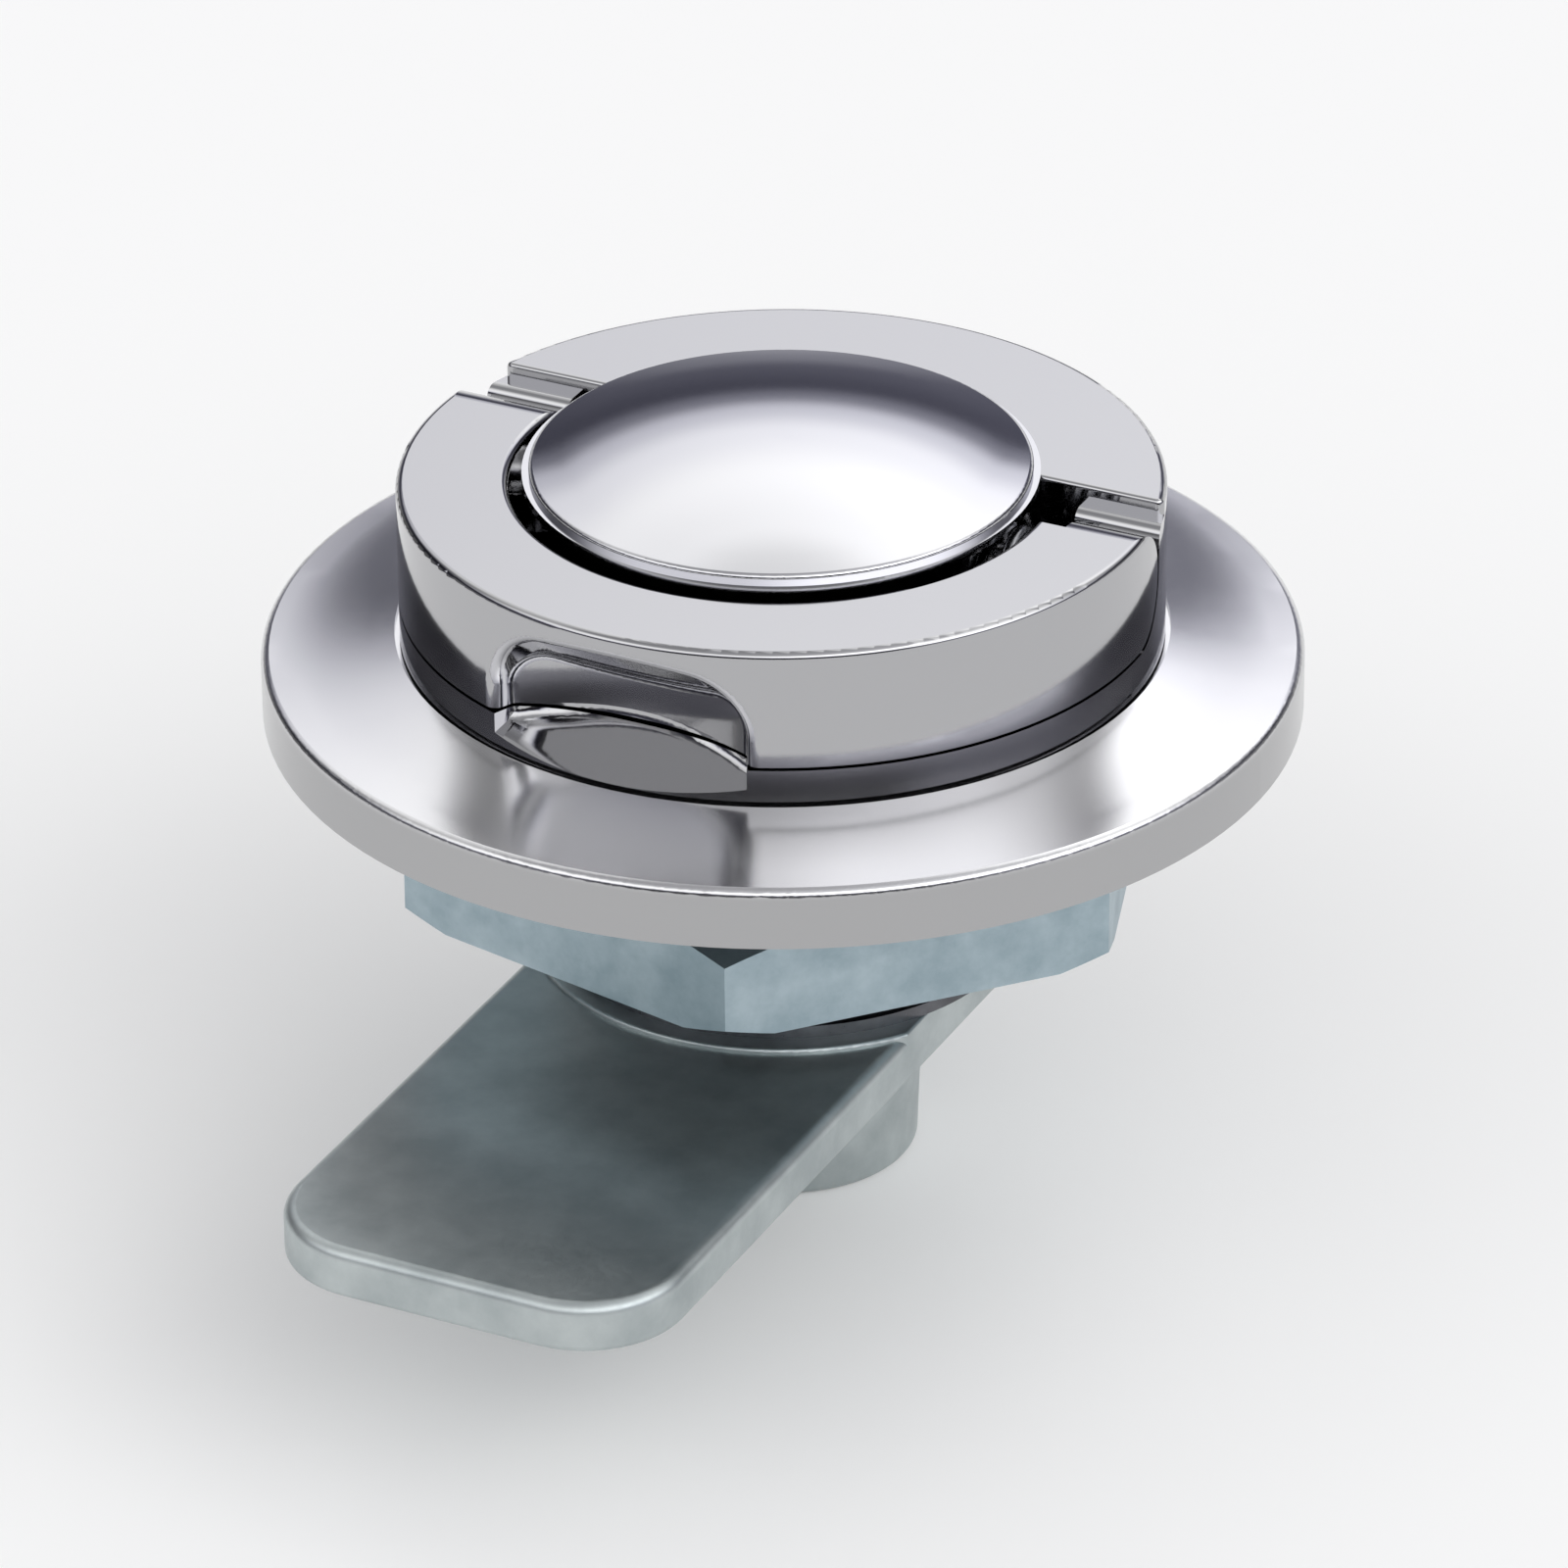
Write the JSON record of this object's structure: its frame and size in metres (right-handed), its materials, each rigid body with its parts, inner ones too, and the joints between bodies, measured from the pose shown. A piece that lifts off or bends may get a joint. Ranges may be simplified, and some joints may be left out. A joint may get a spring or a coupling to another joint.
{
  "type": "cam lock",
  "caption": "Round cam lock for a sheet-metal door: a ring handle flips up by a finger scoop and turns a flat cam a quarter turn; threaded barrel with a thin hexagon nut.",
  "frame": {"origin": "on the turning axis, in the plane of the flange's underside, which seats on the outside of the panel", "axes": "+Z points out of the panel along the turning axis, the cam points along -Y, and the handle's hinge lies along X"},
  "size_m": [0.06, 0.0734, 0.0456],
  "materials": {
    "chrome": "polished chrome plate on a zinc casting",
    "blue_zinc": "satin blue zinc plate on steel",
    "grey_zinc": "satin zinc plate",
    "bright_steel": "ground bright",
    "spring_steel": "dark drawn wire and strip",
    "rubber": "matt black moulded"
  },
  "bodies": {
    "lock_body": {"housing": "chrome", "panel_seal": "rubber", "panel_nut": "blue_zinc"},
    "spindle": {"rotor": "chrome", "dome_cap": "chrome", "hinge_pin_left": "bright_steel", "hinge_pin_right": "bright_steel", "handle_spring": "spring_steel", "spindle_seal": "rubber", "index_ball_left": "bright_steel", "index_ball_right": "bright_steel", "index_spring_left": "spring_steel", "index_spring_right": "spring_steel", "disc_spring": "spring_steel", "stop_washer": "spring_steel", "cam": "grey_zinc", "cam_washer": "blue_zinc", "spring_washer": "spring_steel", "cam_screw": "blue_zinc"},
    "handle": {"flip_handle": "chrome"}
  },
  "joints": [
    {"name": "turn", "type": "hinge", "parent": "lock_body", "child": "spindle", "pos_m": [0, 0, 0], "axis": [0, 0, 1], "range_deg": [0, 90]},
    {"name": "handle_flip", "type": "hinge", "parent": "spindle", "child": "handle", "pos_m": [0, 0.00095, 0.01055], "axis": [-1, 0, 0], "range_deg": [0, 90], "stiffness_Nm_per_rad": 0.01, "springref_deg": -34.38, "deforming": ["handle_spring"]}
  ]
}
